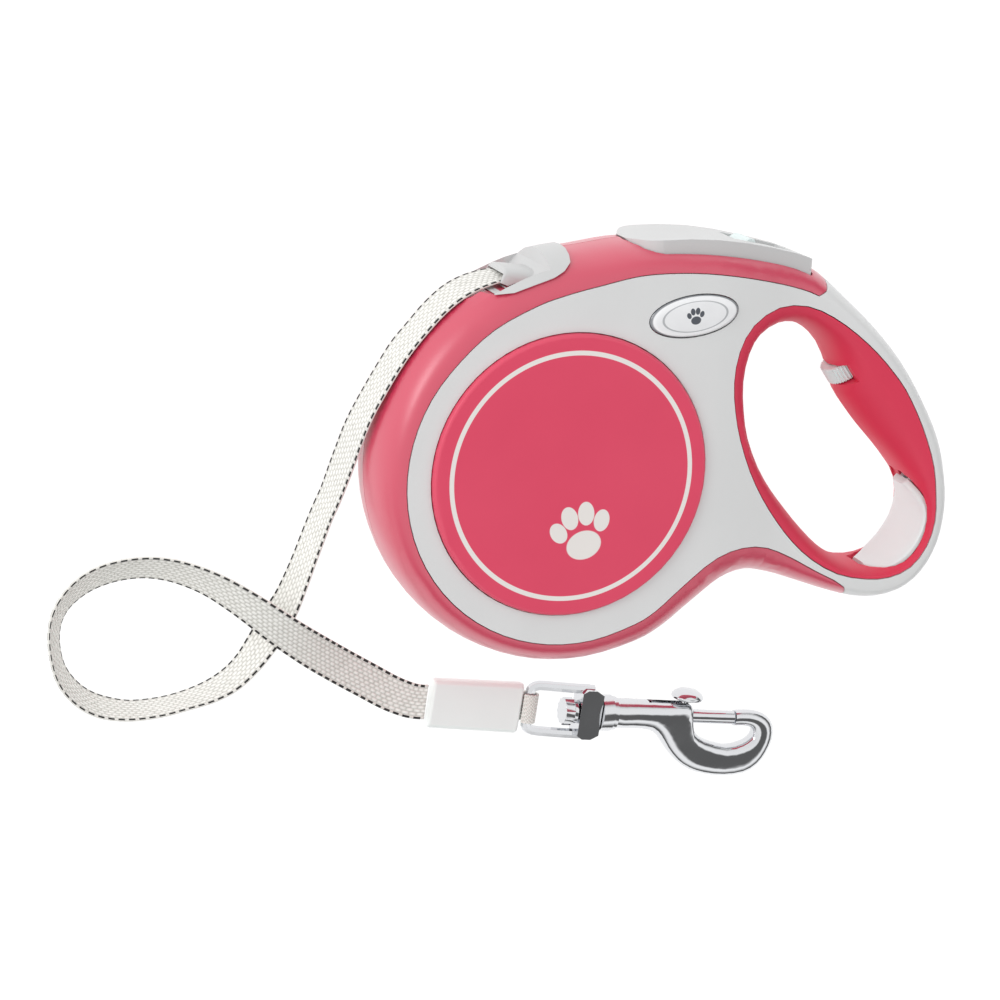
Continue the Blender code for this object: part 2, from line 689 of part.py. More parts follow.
def build_reel(grey, steel, tape):
    turned("reel_drum", [(4.3, DRUM_FLOOR), (HUB_INNER, DRUM_FLOOR), (HUB_INNER, HUB_TOP),
                         (HUB_RADIUS, HUB_TOP), (HUB_RADIUS, DRUM_FLOOR), (FLANGE_RADIUS, DRUM_FLOOR),
                         (FLANGE_RADIUS, DRUM_BOTTOM), (4.3, DRUM_BOTTOM)], 40)
    outline = []
    for i in range(TEETH):
        start = 360 / TEETH * i
        outline += arc((0, 0), FLANGE_RADIUS, start, start + 3, 1)
        outline += arc((0, 0), TOOTH_ROOT, start + 7, start + 11, 1)
    flange = prism("reel_flange", outline, HUB_TOP + GAP, HUB_TOP + GAP + FLANGE_THICK)
    cut(flange, prism("bore", circle((0, 0), 27, 48), 20, 50))
    turned("spring_cover", [(4.3, 33.2), (28.7, 33.2), (28.7, 32), (4.3, 32)], 32)
    wound = turned("wound_tape", [(HUB_RADIUS + GAP, MID + 6.25), (WOUND_RADIUS, MID + 6.25),
                                  (WOUND_RADIUS, MID - 6.25), (HUB_RADIUS + GAP, MID - 6.25)], 40)
    turned("reel_axle", [(0, 37.6), (AXLE_RADIUS, 37.6), (AXLE_RADIUS, 6.4), (0, 6.4)], 24)
    turned("spring_arbor", [(4.3, 31.5), (6.5, 31.5), (6.5, 11.4), (4.3, 11.4)], 24)
    spring = spiral("power_spring", 7.3, 28.2, 4, 12, 31)
    lead = ribbon("tape_lead", [(10, 52.9, MID, 90), (-4, 56.6, MID, 90), (-14.6, 60.7, MID, 90)])
    paint([bpy.data.objects[n] for n in ("reel_drum", "reel_flange", "spring_cover")], grey)
    paint([bpy.data.objects[n] for n in ("reel_axle", "spring_arbor")] + [spring], steel)
    paint((wound, lead), tape)


def spiral(name, inner, outer, turns, bottom, top):
    steps = 18 * turns
    near, far = [], []
    for i in range(steps + 1):
        angle = 2 * math.pi * i / 18
        radius = inner + (outer - inner - 0.6) * i / steps
        near.append((radius * math.cos(angle), radius * math.sin(angle)))
        far.append(((radius + 0.6) * math.cos(angle), (radius + 0.6) * math.sin(angle)))
    return rings(name, [strip_section(a, b, bottom, top) for a, b in zip(near, far)])


def strip_section(a, b, bottom, top):
    return [(*a, bottom), (*b, bottom), (*b, top), (*a, top)]


def ribbon(name, keys, width=TAPE_WIDTH, steps=2):
    """A flat strip along a route; each key holds its place and its lean."""
    route = smooth_path(keys, steps)
    loops = []
    for i, (x, y, z, lean) in enumerate(route):
        before = Vector(route[max(i - 1, 0)][:3])
        after = Vector(route[min(i + 1, len(route) - 1)][:3])
        along = (after - before).normalized()
        level = Vector((0, 0, 1)).cross(along).normalized()
        upright = along.cross(level)
        angle = math.radians(lean)
        side = level * math.cos(angle) + upright * math.sin(angle)
        face = along.cross(side)
        centre = Vector((x, y, z))
        half = side * width / 2
        skin = face * TAPE_THICK / 2
        loops.append([centre + half + skin, centre - half + skin, centre - half - skin,
                      centre + half - skin])
    return rings(name, loops)


def build_brake(grey, white, steel):
    button = button_block("brake_button")
    squeeze(button)
    recess = prism("recess", [lock_place(x, y) for x, y in ((-8, -1.2), (13, -1.2), (13, 10), (-8, 10))],
                   MID - 6.5, MID + 6.5)
    cut(button, recess)
    slider_side = [(-7.4, -0.9), (2.6, -0.9), (2.6, 0.3), (0.8, 0.6), (-0.6, 2.4), (-2.6, 2.4),
                   (-4.4, 0.6), (-7.4, 0.3)]
    slider = prism("lock_slider", [lock_place(x, y) for x, y in slider_side], MID - 6, MID + 6)
    pawl = box("brake_pawl", (22.5, 56.6, 29), (27.5, 66.6, 36.1))
    turns = 4
    coil = []
    for i in range(turns * 8 + 1):
        angle = 2 * math.pi * i / 8
        height = 55 + 8.9 * i / (turns * 8)
        coil.append((52 + 3 * math.cos(angle), height, MID + 3 * math.sin(angle)))
    spring = wire("brake_spring", coil, 0.4)
    paint((button, pawl), grey)
    paint((slider,), white)
    paint((spring,), steel)


def lock_place(along, up):
    x, y = turn((along, up), LOCK_ANGLE)
    return (LOCK_POINT[0] + x, LOCK_POINT[1] + y)


def build_screws(steel):
    for i, place in enumerate(SCREW_PLACES):
        low = MID - HALF * thickness_ratio(place[0]) + 1.2
        screw = rod("casing_screw_%d" % (i + 1), 1.3, (*place, low), (*place, 30.5), 12)
        join(screw, rod("head", 2.6, (*place, low), (*place, 13.6), 16))
        paint((screw,), steel)


def build_leash_end(tape, white, steel):
    free = ribbon("tape", TAPE_KEYS, steps=1)
    start = Vector((-32.6, -88.3))
    end = Vector((0.05, -92.6))
    middle = (start + end) / 2
    line = (end - start).normalized()
    side = Vector((-line.y, line.x))
    loops = []
    for along, wide, tall in ((0, 8.2, 2.2), (0.03, 8.7, 2.7), (0.97, 9, 2.7), (1, 8.7, 2.2)):
        centre = start + (end - start) * along
        section = []
        for a, b in ((1, 0.5), (0.85, 1), (-0.85, 1), (-1, 0.5), (-1, -0.5), (-0.85, -1),
                     (0.85, -1), (1, -0.5)):
            spot = centre + side * wide * a
            section.append((spot.x, spot.y, 3.0 + tall * b))
        loops.append(section)
    sleeve = rings("end_sleeve", loops)
    paint((free,), tape)
    paint((sleeve,), white)
    build_eye(tape, steel)
    build_hook(steel)


def build_eye(tape, steel):
    half = [(-6, 8.1, 0), (-14, 8.2, 0.2), (-21, 8.2, 0.55), (-25.6, 8.1, 0.85), (-27.8, 7, 1),
            (-28.2, 5.2, 1), (-28.2, 0, 1)]
    path = half + [(u, -v, t) for u, v, t in reversed(half[:-1])]
    points = [(*on_hook(u, v), HOOK_HEIGHT - (HOOK_HEIGHT - 4.2) * t) for u, v, t in smooth_path(path, 2)]
    eye = wire("snap_eye", points, 1.8)
    bar_outline = [(-11.3, -7.6), (-9.4, -8.8), (-6.2, -8.8), (-3.4, -7.2), (-3.4, 7.2), (-6.2, 8.8),
                   (-9.4, 8.8), (-11.3, 7.6)]
    bar = prism("bar", [on_hook(*p) for p in bar_outline], HOOK_HEIGHT - 4.2, HOOK_HEIGHT + 4.2)
    join(eye, bar)
    cut(eye, rod("bore", 2.7, (*on_hook(-14, 0), HOOK_HEIGHT), (*on_hook(0, 0), HOOK_HEIGHT), 24))
    section = []
    for degrees in range(-150, 151, 30):
        angle = math.radians(degrees)
        section.append((math.cos(angle), math.sin(angle)))
    outer = [(-28.2 + 3.1 * c, 4.2 + 3.1 * s) for c, s in section]
    inner = [(-28.2 + 2.2 * c, 4.2 + 2.2 * s) for c, s in section]
    outline = outer + list(reversed(inner))
    loops = []
    for across in (-5.1, 5.1):
        loops.append([(*on_hook(u, across), z) for u, z in outline])
    loop = rings("tape_eye_loop", loops)
    paint((eye,), steel)
    paint((loop,), tape)


def build_hook(steel):
    def at(along, across=0.0, up=0.0):
        return (*on_hook(along, across), HOOK_HEIGHT + up)

    loops = []
    for ou, ov, iu, iv, tall, power in smooth_path(HOOK_KEYS, 2):
        section = []
        for i in range(HOOK_SIDES):
            angle = 2 * math.pi * i / HOOK_SIDES
            share, level = (math.copysign(abs(value) ** power, value)
                            for value in (math.cos(angle), math.sin(angle)))
            u, v = blend((ou, ov), (iu, iv), 0.5 - 0.5 * share)
            section.append(at(u, v, tall * level))
        loops.append(section)
    body = rings("snap_body", loops)
    join(body, rod("collar", 6.4, at(-3.1), at(0.9), 32), rod("lip", 5.9, at(0), at(2.6), 32),
         rod("pin", 2.3, at(-11.5), at(-2), 20))
    slot = prism("slot", [on_hook(*p) for p in ((14.8, 0), (30.2, 0), (30.2, 8), (14.8, 8))],
                 HOOK_HEIGHT - 1.8, HOOK_HEIGHT + 1.8)
    cut(body, rod("bore", 2.75, at(8), at(38), 24), slot)
    head = ribbed("swivel_pin_head", 4.9, 0.6, 12, at(-16.6), at(-13.2))
    join(head, rod("washer", 4.1, at(-13.6), at(-11.8), 24))
    bolt = rod("snap_bolt", 2.4, at(19.6), at(48.4), 24)
    join(bolt, rod("stem", 1.4, at(28.4, 0), at(28.4, 5.7), 16))
    knob = turned("bolt_knob", [(0, 9.9), (1.8, 9.8), (3.6, 9.4), (5, 8.5), (5.7, 7.4), (5.5, 6.6),
                                (4.2, 6.1), (0, 6)], 32)
    rise = Vector((*turn((0, 1), HOOK_ANGLE), 0)).to_track_quat("Z", "Y").to_matrix().to_4x4()
    knob.data.transform(Matrix.Translation(Vector(at(29.6)) * MM) @ rise)
    coil = []
    turns = 4
    for i in range(turns * 8 + 1):
        angle = 2 * math.pi * i / 8
        along = 8.8 + 10.0 * i / (turns * 8)
        coil.append(at(along, 1.9 * math.cos(angle), 1.9 * math.sin(angle)))
    spring = wire("bolt_spring", coil, 0.35)
    paint((body, head, bolt, knob, spring), steel)


def paint(pieces, shade):
    for piece in pieces:
        piece.data.materials.clear()
        piece.data.materials.append(shade)
        piece.data.shade_smooth()
        piece.data.set_sharp_from_angle(angle=math.radians(35))


def main():
    for old in list(bpy.data.objects):
        bpy.data.objects.remove(old)
    red = material("red plastic", (0.70, 0.045, 0.107), 0.35)
    soft = material("soft red grip", (0.68, 0.035, 0.085), 0.55)
    grey = material("grey plastic", (0.68, 0.69, 0.69), 0.42)
    white = material("white plastic", (0.82, 0.82, 0.80), 0.4)
    clear = material("badge dome", (0.75, 0.77, 0.79), 0.12)
    tape = material("woven tape", (0.70, 0.68, 0.62), 0.85)
    steel = material("chrome", (0.75, 0.75, 0.76), 0.12, 1.0)
    build_casing(red, grey, clear)
    build_liner(soft)
    build_hand_stop(white, steel)
    build_reel(grey, steel, tape)
    build_brake(grey, white, steel)
    build_screws(steel)
    build_leash_end(tape, white, steel)
    leash = bpy.data.collections.new("retractable_leash")
    bpy.context.scene.collection.children.link(leash)
    for piece in list(bpy.context.scene.collection.objects):
        leash.objects.link(piece)
        bpy.context.scene.collection.objects.unlink(piece)


main()
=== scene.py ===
"""Looks for the retractable leash: materials, the woven tape, light and camera."""

import math

import bmesh
import bpy
from mathutils import Matrix, Vector


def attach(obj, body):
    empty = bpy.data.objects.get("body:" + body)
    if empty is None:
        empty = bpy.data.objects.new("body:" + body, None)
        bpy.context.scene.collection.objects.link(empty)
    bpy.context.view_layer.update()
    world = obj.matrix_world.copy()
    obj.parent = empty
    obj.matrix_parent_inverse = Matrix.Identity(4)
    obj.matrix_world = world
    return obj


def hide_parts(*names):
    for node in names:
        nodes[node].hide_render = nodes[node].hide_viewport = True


MM = 0.001

# Where the camera stands, in metres, and which way its picture's right and up point.
CAMERA_PLACE = (-0.311541, 0.224340, 0.853650)
CAMERA_RIGHT = (0.94524, 0.03908, 0.32401)
CAMERA_UP = (0.04848, 0.96498, -0.25781)
CAMERA_LENS_MM = 100
CAMERA_FILM_MM = 36

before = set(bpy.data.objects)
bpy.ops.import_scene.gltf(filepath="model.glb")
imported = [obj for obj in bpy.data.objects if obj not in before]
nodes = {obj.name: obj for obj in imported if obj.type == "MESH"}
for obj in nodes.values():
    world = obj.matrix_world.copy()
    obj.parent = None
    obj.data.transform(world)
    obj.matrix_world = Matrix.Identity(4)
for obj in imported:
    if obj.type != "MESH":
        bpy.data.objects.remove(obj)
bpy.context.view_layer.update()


# ---------------------------------------------------------------- camera
def add_camera():
    right = Vector(CAMERA_RIGHT)
    up = Vector(CAMERA_UP)
    back = right.cross(up)
    data = bpy.data.cameras.new("photo camera")
    data.lens = CAMERA_LENS_MM
    data.sensor_width = CAMERA_FILM_MM
    data.clip_start = 0.05
    camera = bpy.data.objects.new("photo camera", data)
    columns = Matrix((right, up, back)).transposed()
    camera.matrix_world = Matrix.Translation(Vector(CAMERA_PLACE)) @ columns.to_4x4()
    bpy.context.scene.collection.objects.link(camera)
    bpy.context.scene.camera = camera


add_camera()


# ---------------------------------------------------------------- node helpers
def new_material(name, colour, roughness, metallic=0.0):
    made = bpy.data.materials.new(name)
    made.use_nodes = True
    shader = made.node_tree.nodes["Principled BSDF"]
    shader.inputs["Base Color"].default_value = (*colour, 1)
    shader.inputs["Roughness"].default_value = roughness
    shader.inputs["Metallic"].default_value = metallic
    return made


def shader_of(material):
    return material.node_tree.nodes["Principled BSDF"]


def add_node(material, kind, **values):
    node = material.node_tree.nodes.new(kind)
    for name, value in values.items():
        setattr(node, name, value)
    return node


def link(material, source, target):
    material.node_tree.links.new(source, target)


def maths(material, operation, first, second=None, third=None):
    node = add_node(material, "ShaderNodeMath", operation=operation)
    for socket, value in zip(node.inputs, (first, second, third)):
        if value is None:
            continue
        if isinstance(value, (int, float)):
            socket.default_value = value
        else:
            link(material, value, socket)
    return node.outputs[0]


def place_of(material):
    return add_node(material, "ShaderNodeTexCoord").outputs["Object"]


def noise(material, scale, detail):
    node = add_node(material, "ShaderNodeTexNoise")
    node.inputs["Scale"].default_value = scale
    node.inputs["Detail"].default_value = detail
    link(material, place_of(material), node.inputs["Vector"])
    return node.outputs["Fac"]


RANGE_SOCKETS = ("From Min", "From Max", "To Min", "To Max")


def remap(material, value, low, high, out_low, out_high):
    node = add_node(material, "ShaderNodeMapRange")
    link(material, value, node.inputs["Value"])
    for name, number in zip(RANGE_SOCKETS, (low, high, out_low, out_high)):
        node.inputs[name].default_value = number
    return node.outputs["Result"]


def mix_colour(material, share, first, second):
    node = add_node(material, "ShaderNodeMix", data_type="RGBA")
    for socket, value in ((node.inputs[0], share), (node.inputs[6], first), (node.inputs[7], second)):
        if isinstance(value, tuple):
            socket.default_value = (*value, 1)
        elif isinstance(value, (int, float)):
            socket.default_value = value
        else:
            link(material, value, socket)
    return node.outputs[2]


def add_bump(material, height, strength, distance):
    bump = add_node(material, "ShaderNodeBump")
    bump.inputs["Strength"].default_value = strength
    bump.inputs["Distance"].default_value = distance
    link(material, height, bump.inputs["Height"])
    link(material, bump.outputs["Normal"], shader_of(material).inputs["Normal"])


def length_of(material, vector):
    node = add_node(material, "ShaderNodeVectorMath", operation="LENGTH")
    link(material, vector, node.inputs[0])
    return node.outputs["Value"]


def oval(material, where, centre, degrees, halves, depth):
    """Distance from an oval's centre, which is 1 on its edge; centre and half sizes in millimetres."""
    spot = add_node(material, "ShaderNodeMapping", vector_type="TEXTURE")
    spot.inputs["Location"].default_value = (centre[0] * MM, centre[1] * MM, 0)
    spot.inputs["Rotation"].default_value = (0, 0, math.radians(degrees))
    spot.inputs["Scale"].default_value = (halves[0] * MM, halves[1] * MM, depth)
    link(material, where, spot.inputs["Vector"])
    return length_of(material, spot.outputs[0])


def paw_pads(material, where, centre, degrees, pads, depth):
    """Distances from the five pads of a paw print that is turned by some degrees."""
    tilt = math.radians(degrees)
    for across, up, long_half, short_half, turned in pads:
        x = centre[0] + across * math.cos(tilt) - up * math.sin(tilt)
        y = centre[1] + across * math.sin(tilt) + up * math.cos(tilt)
        yield oval(material, where, (x, y), degrees + turned, (long_half, short_half), depth)


def vary(material, colour, amount, scale=55.0):
    """A slow, faint change of the colour, so no surface is one flat value."""
    deep = tuple(c * (1 - amount) for c in colour)
    pale = tuple(min(1, c * (1 + amount)) for c in colour)
    return mix_colour(material, noise(material, scale, 3.0), deep, pale)


# ---------------------------------------------------------------- materials
COLOUR_SPREAD = 0.03
GLOSS_SPREAD = 0.04


def moulded(name, colour, roughness, grain=900.0, depth=0.00002, coat=0.0, shine=0.5, grip=0.25):
    """Moulded plastic with a fine spark-eroded grain and slightly uneven gloss."""
    made = new_material(name, colour, roughness)
    shader = shader_of(made)
    shader.inputs["Specular IOR Level"].default_value = shine
    shader.inputs["Coat Weight"].default_value = coat
    shader.inputs["Coat Roughness"].default_value = 0.3
    link(made, vary(made, colour, COLOUR_SPREAD), shader.inputs["Base Color"])
    smoothest = roughness - GLOSS_SPREAD
    dullest = roughness + GLOSS_SPREAD
    gloss = remap(made, noise(made, 30.0, 4.0), 0.3, 0.7, smoothest, dullest)
    link(made, gloss, shader.inputs["Roughness"])
    fine = noise(made, grain, 2.0)
    wavy = noise(made, 28.0, 1.0)
    height = maths(made, "ADD", fine, maths(made, "MULTIPLY", wavy, 1.5))
    add_bump(made, height, grip, depth)
    return made


RED = (0.65, 0.036, 0.094)
SOFT_RED = (0.72, 0.034, 0.086)
DISC_RED = (0.79, 0.075, 0.145)
PRINT = (0.88, 0.84, 0.81)
GREY = (0.76, 0.765, 0.765)
GUIDE_GREY = (0.60, 0.605, 0.605)
BUTTON_PAD = (0.66, 0.665, 0.665)
# The button's flat sides: a darker grey that is painted shade, mixed in by button_material.
BUTTON_SIDE_SHADE = (0.60, 0.605, 0.605)
PALE = (0.78, 0.87, 0.865)
SLEEVE_WHITE = (0.94, 0.975, 0.96)
FOIL = (0.93, 0.935, 0.95)
BADGE_LINE = (0.16, 0.18, 0.2)
BADGE_PAW = (0.11, 0.12, 0.14)
BADGE_RIM = (0.25, 0.26, 0.28)
CHROME = (0.72, 0.73, 0.75)
YARN_DARK = (0.66, 0.65, 0.60)
YARN_PALE = (1.0, 0.99, 0.95)
PLAIN_YARN_PALE = (0.98, 0.97, 0.93)
# The flat colours that stand for the weaves where their patterns can't be read.
YARN_MEAN = (0.68, 0.66, 0.60)
PLAIN_YARN_MEAN = (0.88, 0.87, 0.83)
SELVEDGE = (0.88, 0.865, 0.82)
STITCH_BLACK = (0.022, 0.021, 0.02)
PAPER = (0.15, 0.15, 0.15)

# The disc's print, in millimetres and degrees. Each pad: across, up, its two half sizes, its turn.
RING_RADIUS = 40.9
RING_OUTER = 0.85
RING_INNER = 0.70
DISC_PAW_CENTRE = (4.0, -19.0)
DISC_PAW_TURN = 14
DISC_PADS = ((0, -4.2, 6.0, 4.8, 0), (-7.6, 2.2, 2.7, 3.7, 22), (-2.9, 6.0, 2.8, 4.0, 7),
             (2.9, 6.0, 2.8, 4.0, -7), (7.6, 2.2, 2.7, 3.7, -22))
PRINT_ABOVE = 22

# The badge's print, the same way.
BADGE_CENTRE = (40.3, 51.4)
BADGE_TURN = 7
BADGE_HALVES = (15.5, 6.8)
BADGE_PADS = ((0, -1.25, 1.75, 1.35, 0), (-2.25, 0.55, 0.75, 1.05, 22), (-0.85, 1.7, 0.8, 1.15, 7),
              (0.85, 1.7, 0.8, 1.15, -7), (2.25, 0.55, 0.75, 1.05, -22))
BADGE_LINE_AT = 0.72
BADGE_DEPTH = 100


def disc_material():
    """The red disc with its printed ring and paw, both flat ink."""
    made = moulded("red disc with print", DISC_RED, 0.36)
    shader = shader_of(made)
    split = add_node(made, "ShaderNodeSeparateXYZ")
    link(made, place_of(made), split.inputs[0])
    flat = add_node(made, "ShaderNodeCombineXYZ")
    link(made, split.outputs[0], flat.inputs[0])
    link(made, split.outputs[1], flat.inputs[1])
    far = length_of(made, flat.outputs[0])
    off = maths(made, "ABSOLUTE", maths(made, "SUBTRACT", far, RING_RADIUS * MM))
    ink = remap(made, off, RING_OUTER * MM, RING_INNER * MM, 0, 1)
    for pad in paw_pads(made, flat.outputs[0], DISC_PAW_CENTRE, DISC_PAW_TURN, DISC_PADS, 1):
        ink = maths(made, "MAXIMUM", ink, remap(made, pad, 1.03, 0.97, 0, 1))
    upper = maths(made, "GREATER_THAN", split.outputs[2], PRINT_ABOVE * MM)
    ink = maths(made, "MULTIPLY", ink, upper)
    base = shader.inputs["Base Color"].links[0].from_socket
    link(made, mix_colour(made, ink, base, PRINT), shader.inputs["Base Color"])
    return made


def button_material():
    """Grey plastic whose flat sides get painted shade: a darker grey than its thumb pad."""
    made = moulded("button plastic", BUTTON_PAD, 0.4)
    shader = shader_of(made)
    surface = add_node(made, "ShaderNodeNewGeometry")
    split = add_node(made, "ShaderNodeSeparateXYZ")
    link(made, surface.outputs["Normal"], split.inputs[0])
    # Painted shade: where the surface faces straight up or down, the grey is darkened to stand in for
    # the shade on the button's flat sides.
    painted_side_shade = remap(made, maths(made, "ABSOLUTE", split.outputs[2]), 0.55, 0.95, 0, 1)
    base = shader.inputs["Base Color"].links[0].from_socket
    link(made, mix_colour(made, painted_side_shade, base, BUTTON_SIDE_SHADE), shader.inputs["Base Color"])
    return made


def dome_material():
    """Clear resin over silver foil, with a dark rim, an oval line and a paw print."""
    made = new_material("resin badge", FOIL, 0.2)
    shader = shader_of(made)
    shader.inputs["Coat Weight"].default_value = 1.0
    shader.inputs["Coat Roughness"].default_value = 0.03
    where = place_of(made)
    size = oval(made, where, BADGE_CENTRE, BADGE_TURN, BADGE_HALVES, BADGE_DEPTH)
    rim = remap(made, size, 0.93, 0.96, 0, 1)
    off = maths(made, "ABSOLUTE", maths(made, "SUBTRACT", size, BADGE_LINE_AT))
    line = maths(made, "MULTIPLY", remap(made, off, 0.03, 0.018, 0, 1), 0.55)
    colour = mix_colour(made, line, vary(made, FOIL, 0.05, 160.0), BADGE_LINE)
    for pad in paw_pads(made, where, BADGE_CENTRE, BADGE_TURN, BADGE_PADS, BADGE_DEPTH):
        colour = mix_colour(made, remap(made, pad, 1.05, 0.95, 0, 1), colour, BADGE_PAW)
    colour = mix_colour(made, rim, colour, BADGE_RIM)
    link(made, colour, shader.inputs["Base Color"])
    return made


def chrome_material():
    """Plated zinc: mirror bright, faintly uneven, a touch dull in patches."""
    made = new_material("chrome plate", CHROME, 0.1, 1.0)
    shader = shader_of(made)
    gloss = remap(made, noise(made, 60.0, 4.0), 0.35, 0.7, 0.05, 0.14)
    link(made, gloss, shader.inputs["Roughness"])
    add_bump(made, noise(made, 150.0, 2.0), 0.35, 0.0003)
    return made


# The tape's weave, in millimetres. Each pair is where something fades in or out.
CELL_ROW = 1.25
CELL_LENGTH = 2.3
THREAD_PITCH = 0.34
STITCH_PITCH = 3.25
SELVEDGE_MIDDLE = 5.7
SELVEDGE_HALF = 0.55
SELVEDGE_FROM = (5.05, 5.2)
STITCH_FROM = (5.25, 5.35)
STITCH_TO = (6.12, 6.2)
# Where along one stitch pitch, as a share of it, the black begins and ends.
BLACK_BEGINS = (0.03, 0.09)
BLACK_ENDS = (0.66, 0.72)


def tape_material():
    """Woven polyester: raised lozenge cells and a dashed black and white selvedge."""
    made = new_material("woven tape", YARN_MEAN, 0.8)
    shader = shader_of(made)
    shader.inputs["Sheen Weight"].default_value = 0.25
    shader.inputs["Sheen Roughness"].default_value = 0.5
    shader.inputs["Specular IOR Level"].default_value = 0.25
    coords = add_node(made, "ShaderNodeUVMap", uv_map="weave")
    split = add_node(made, "ShaderNodeSeparateXYZ")
    link(made, coords.outputs["UV"], split.inputs[0])
    across = split.outputs[0]
    along = split.outputs[1]

    def wave(value, pitch):
        return maths(made, "SINE", maths(made, "MULTIPLY", value, 2 * math.pi / (pitch * MM)))

    def hump(value, power):
        """One rounded rise from 0 to 1 and back over each whole step of the value."""
        rise = maths(made, "SINE", maths(made, "MULTIPLY", maths(made, "FRACT", value), math.pi))
        return maths(made, "POWER", rise, power)

    # A basket lattice: each cell is a short fat float of yarn, offset row by row.
    row = maths(made, "DIVIDE", across, CELL_ROW * MM)
    odd = maths(made, "FLOORED_MODULO", maths(made, "FLOOR", row), 2.0)
    cell = maths(made, "MULTIPLY_ADD", odd, 0.5, maths(made, "DIVIDE", along, CELL_LENGTH * MM))
    cells = maths(made, "MULTIPLY", hump(row, 0.55), hump(cell, 0.7))
    threads = wave(maths(made, "MULTIPLY_ADD", across, 0.5, along), THREAD_PITCH)
    twist = noise(made, 1500.0, 2.0)
    uneven = noise(made, 420.0, 1.0)
    body = maths(made, "MULTIPLY_ADD", threads, 0.05, cells)
    body = maths(made, "MULTIPLY_ADD", twist, 0.25, body)
    body = maths(made, "MULTIPLY_ADD", uneven, 0.55, body)
    # The selvedge: the outer millimetre, with long black stitches.
    out = maths(made, "ABSOLUTE", across)
    edge = remap(made, out, SELVEDGE_FROM[0] * MM, SELVEDGE_FROM[1] * MM, 0, 1)
    inner_limit = remap(made, out, STITCH_FROM[0] * MM, STITCH_FROM[1] * MM, 0, 1)
    outer_limit = remap(made, out, STITCH_TO[0] * MM, STITCH_TO[1] * MM, 1, 0)
    phase = maths(made, "FRACT", maths(made, "DIVIDE", along, STITCH_PITCH * MM))
    start = remap(made, phase, *BLACK_BEGINS, 0, 1)
    end = remap(made, phase, *BLACK_ENDS, 1, 0)
    ink = maths(made, "MULTIPLY", maths(made, "MULTIPLY", inner_limit, outer_limit),
                maths(made, "MULTIPLY", start, end))
    off = maths(made, "ABSOLUTE", maths(made, "SUBTRACT", out, SELVEDGE_MIDDLE * MM))
    ridge = remap(made, off, 0.0, SELVEDGE_HALF * MM, 1.4, 0.2)
    swell = maths(made, "MULTIPLY_ADD", wave(along, STITCH_PITCH), 0.12, 0.9)
    stitch = maths(made, "MULTIPLY", ridge, swell)
    height = add_node(made, "ShaderNodeMix", data_type="FLOAT")
    link(made, edge, height.inputs[0])
    link(made, body, height.inputs[2])
    link(made, stitch, height.inputs[3])
    shade = remap(made, body, 0.40, 1.30, 0, 1)
    colour = mix_colour(made, shade, YARN_DARK, YARN_PALE)
    colour = mix_colour(made, edge, colour, SELVEDGE)
    colour = mix_colour(made, ink, colour, STITCH_BLACK)
    link(made, colour, shader.inputs["Base Color"])
    add_bump(made, height.outputs[0], 0.8, 0.00036)
    return made


# The short pieces' weave, in millimetres.
RIB_PITCH = 1.1
PICK_PITCH = 1.25


def plain_weave_material():
    """The same yarn on the short pieces, woven along the object's own axes."""
    made = new_material("plain weave", PLAIN_YARN_MEAN, 0.8)
    shader = shader_of(made)
    shader.inputs["Sheen Weight"].default_value = 0.25
    shader.inputs["Specular IOR Level"].default_value = 0.25
    split = add_node(made, "ShaderNodeSeparateXYZ")
    link(made, place_of(made), split.inputs[0])
    x, y, z = split.outputs
    crossing = maths(made, "MULTIPLY_ADD", z, 0.8, y)
    ribs = maths(made, "SINE", maths(made, "MULTIPLY", x, 2 * math.pi / (RIB_PITCH * MM)))
    picks = maths(made, "SINE", maths(made, "MULTIPLY", crossing, 2 * math.pi / (PICK_PITCH * MM)))
    cells = maths(made, "MULTIPLY", ribs, picks)
    body = maths(made, "MULTIPLY_ADD", noise(made, 1200.0, 2.0), 0.8, cells)
    colour = mix_colour(made, remap(made, body, -0.7, 1.3, 0, 1), YARN_DARK, PLAIN_YARN_PALE)
    link(made, colour, shader.inputs["Base Color"])
    add_bump(made, body, 0.6, 0.0002)
    return made


red = moulded("red plastic", RED, 0.34, grain=1500.0, depth=0.00005, coat=0.7, shine=1.0, grip=0.5)
soft = moulded("soft grip rubber", SOFT_RED, 0.52, grain=1500.0, depth=0.00004)
grey = moulded("grey plastic", GREY, 0.38)
guide_grey = moulded("guide plastic", GUIDE_GREY, 0.38)
pale = moulded("pale plastic", PALE, 0.36)
sleeve = moulded("white sleeve", SLEEVE_WHITE, 0.33, coat=0.3)
disc = disc_material()
button = button_material()
dome = dome_material()
chrome = chrome_material()
woven = tape_material()
plain_weave = plain_weave_material()

FINISHES = {
    red: ("upper_shell", "lower_shell"),
    soft: ("grip_liner",),
    guide_grey: ("mouth_guide",),
    grey: ("upper_frame", "lower_frame", "brake_pawl", "reel_drum", "reel_flange",
           "spring_cover"),
    pale: ("hand_stop", "adjuster_wheel", "lock_slider"),
    sleeve: ("end_sleeve",),
    disc: ("upper_disc", "lower_disc"),
    button: ("brake_button",),
    dome: ("upper_badge", "lower_badge"),
    chrome: ("snap_body", "snap_bolt", "snap_eye", "swivel_pin_head", "bolt_knob", "bolt_spring",
             "brake_spring", "power_spring", "reel_axle", "spring_arbor", "adjuster_screw",
             "casing_screw_1", "casing_screw_2", "casing_screw_3", "casing_screw_4", "casing_screw_5"),
    woven: ("tape",),
    plain_weave: ("tape_eye_loop", "tape_lead", "wound_tape"),
}
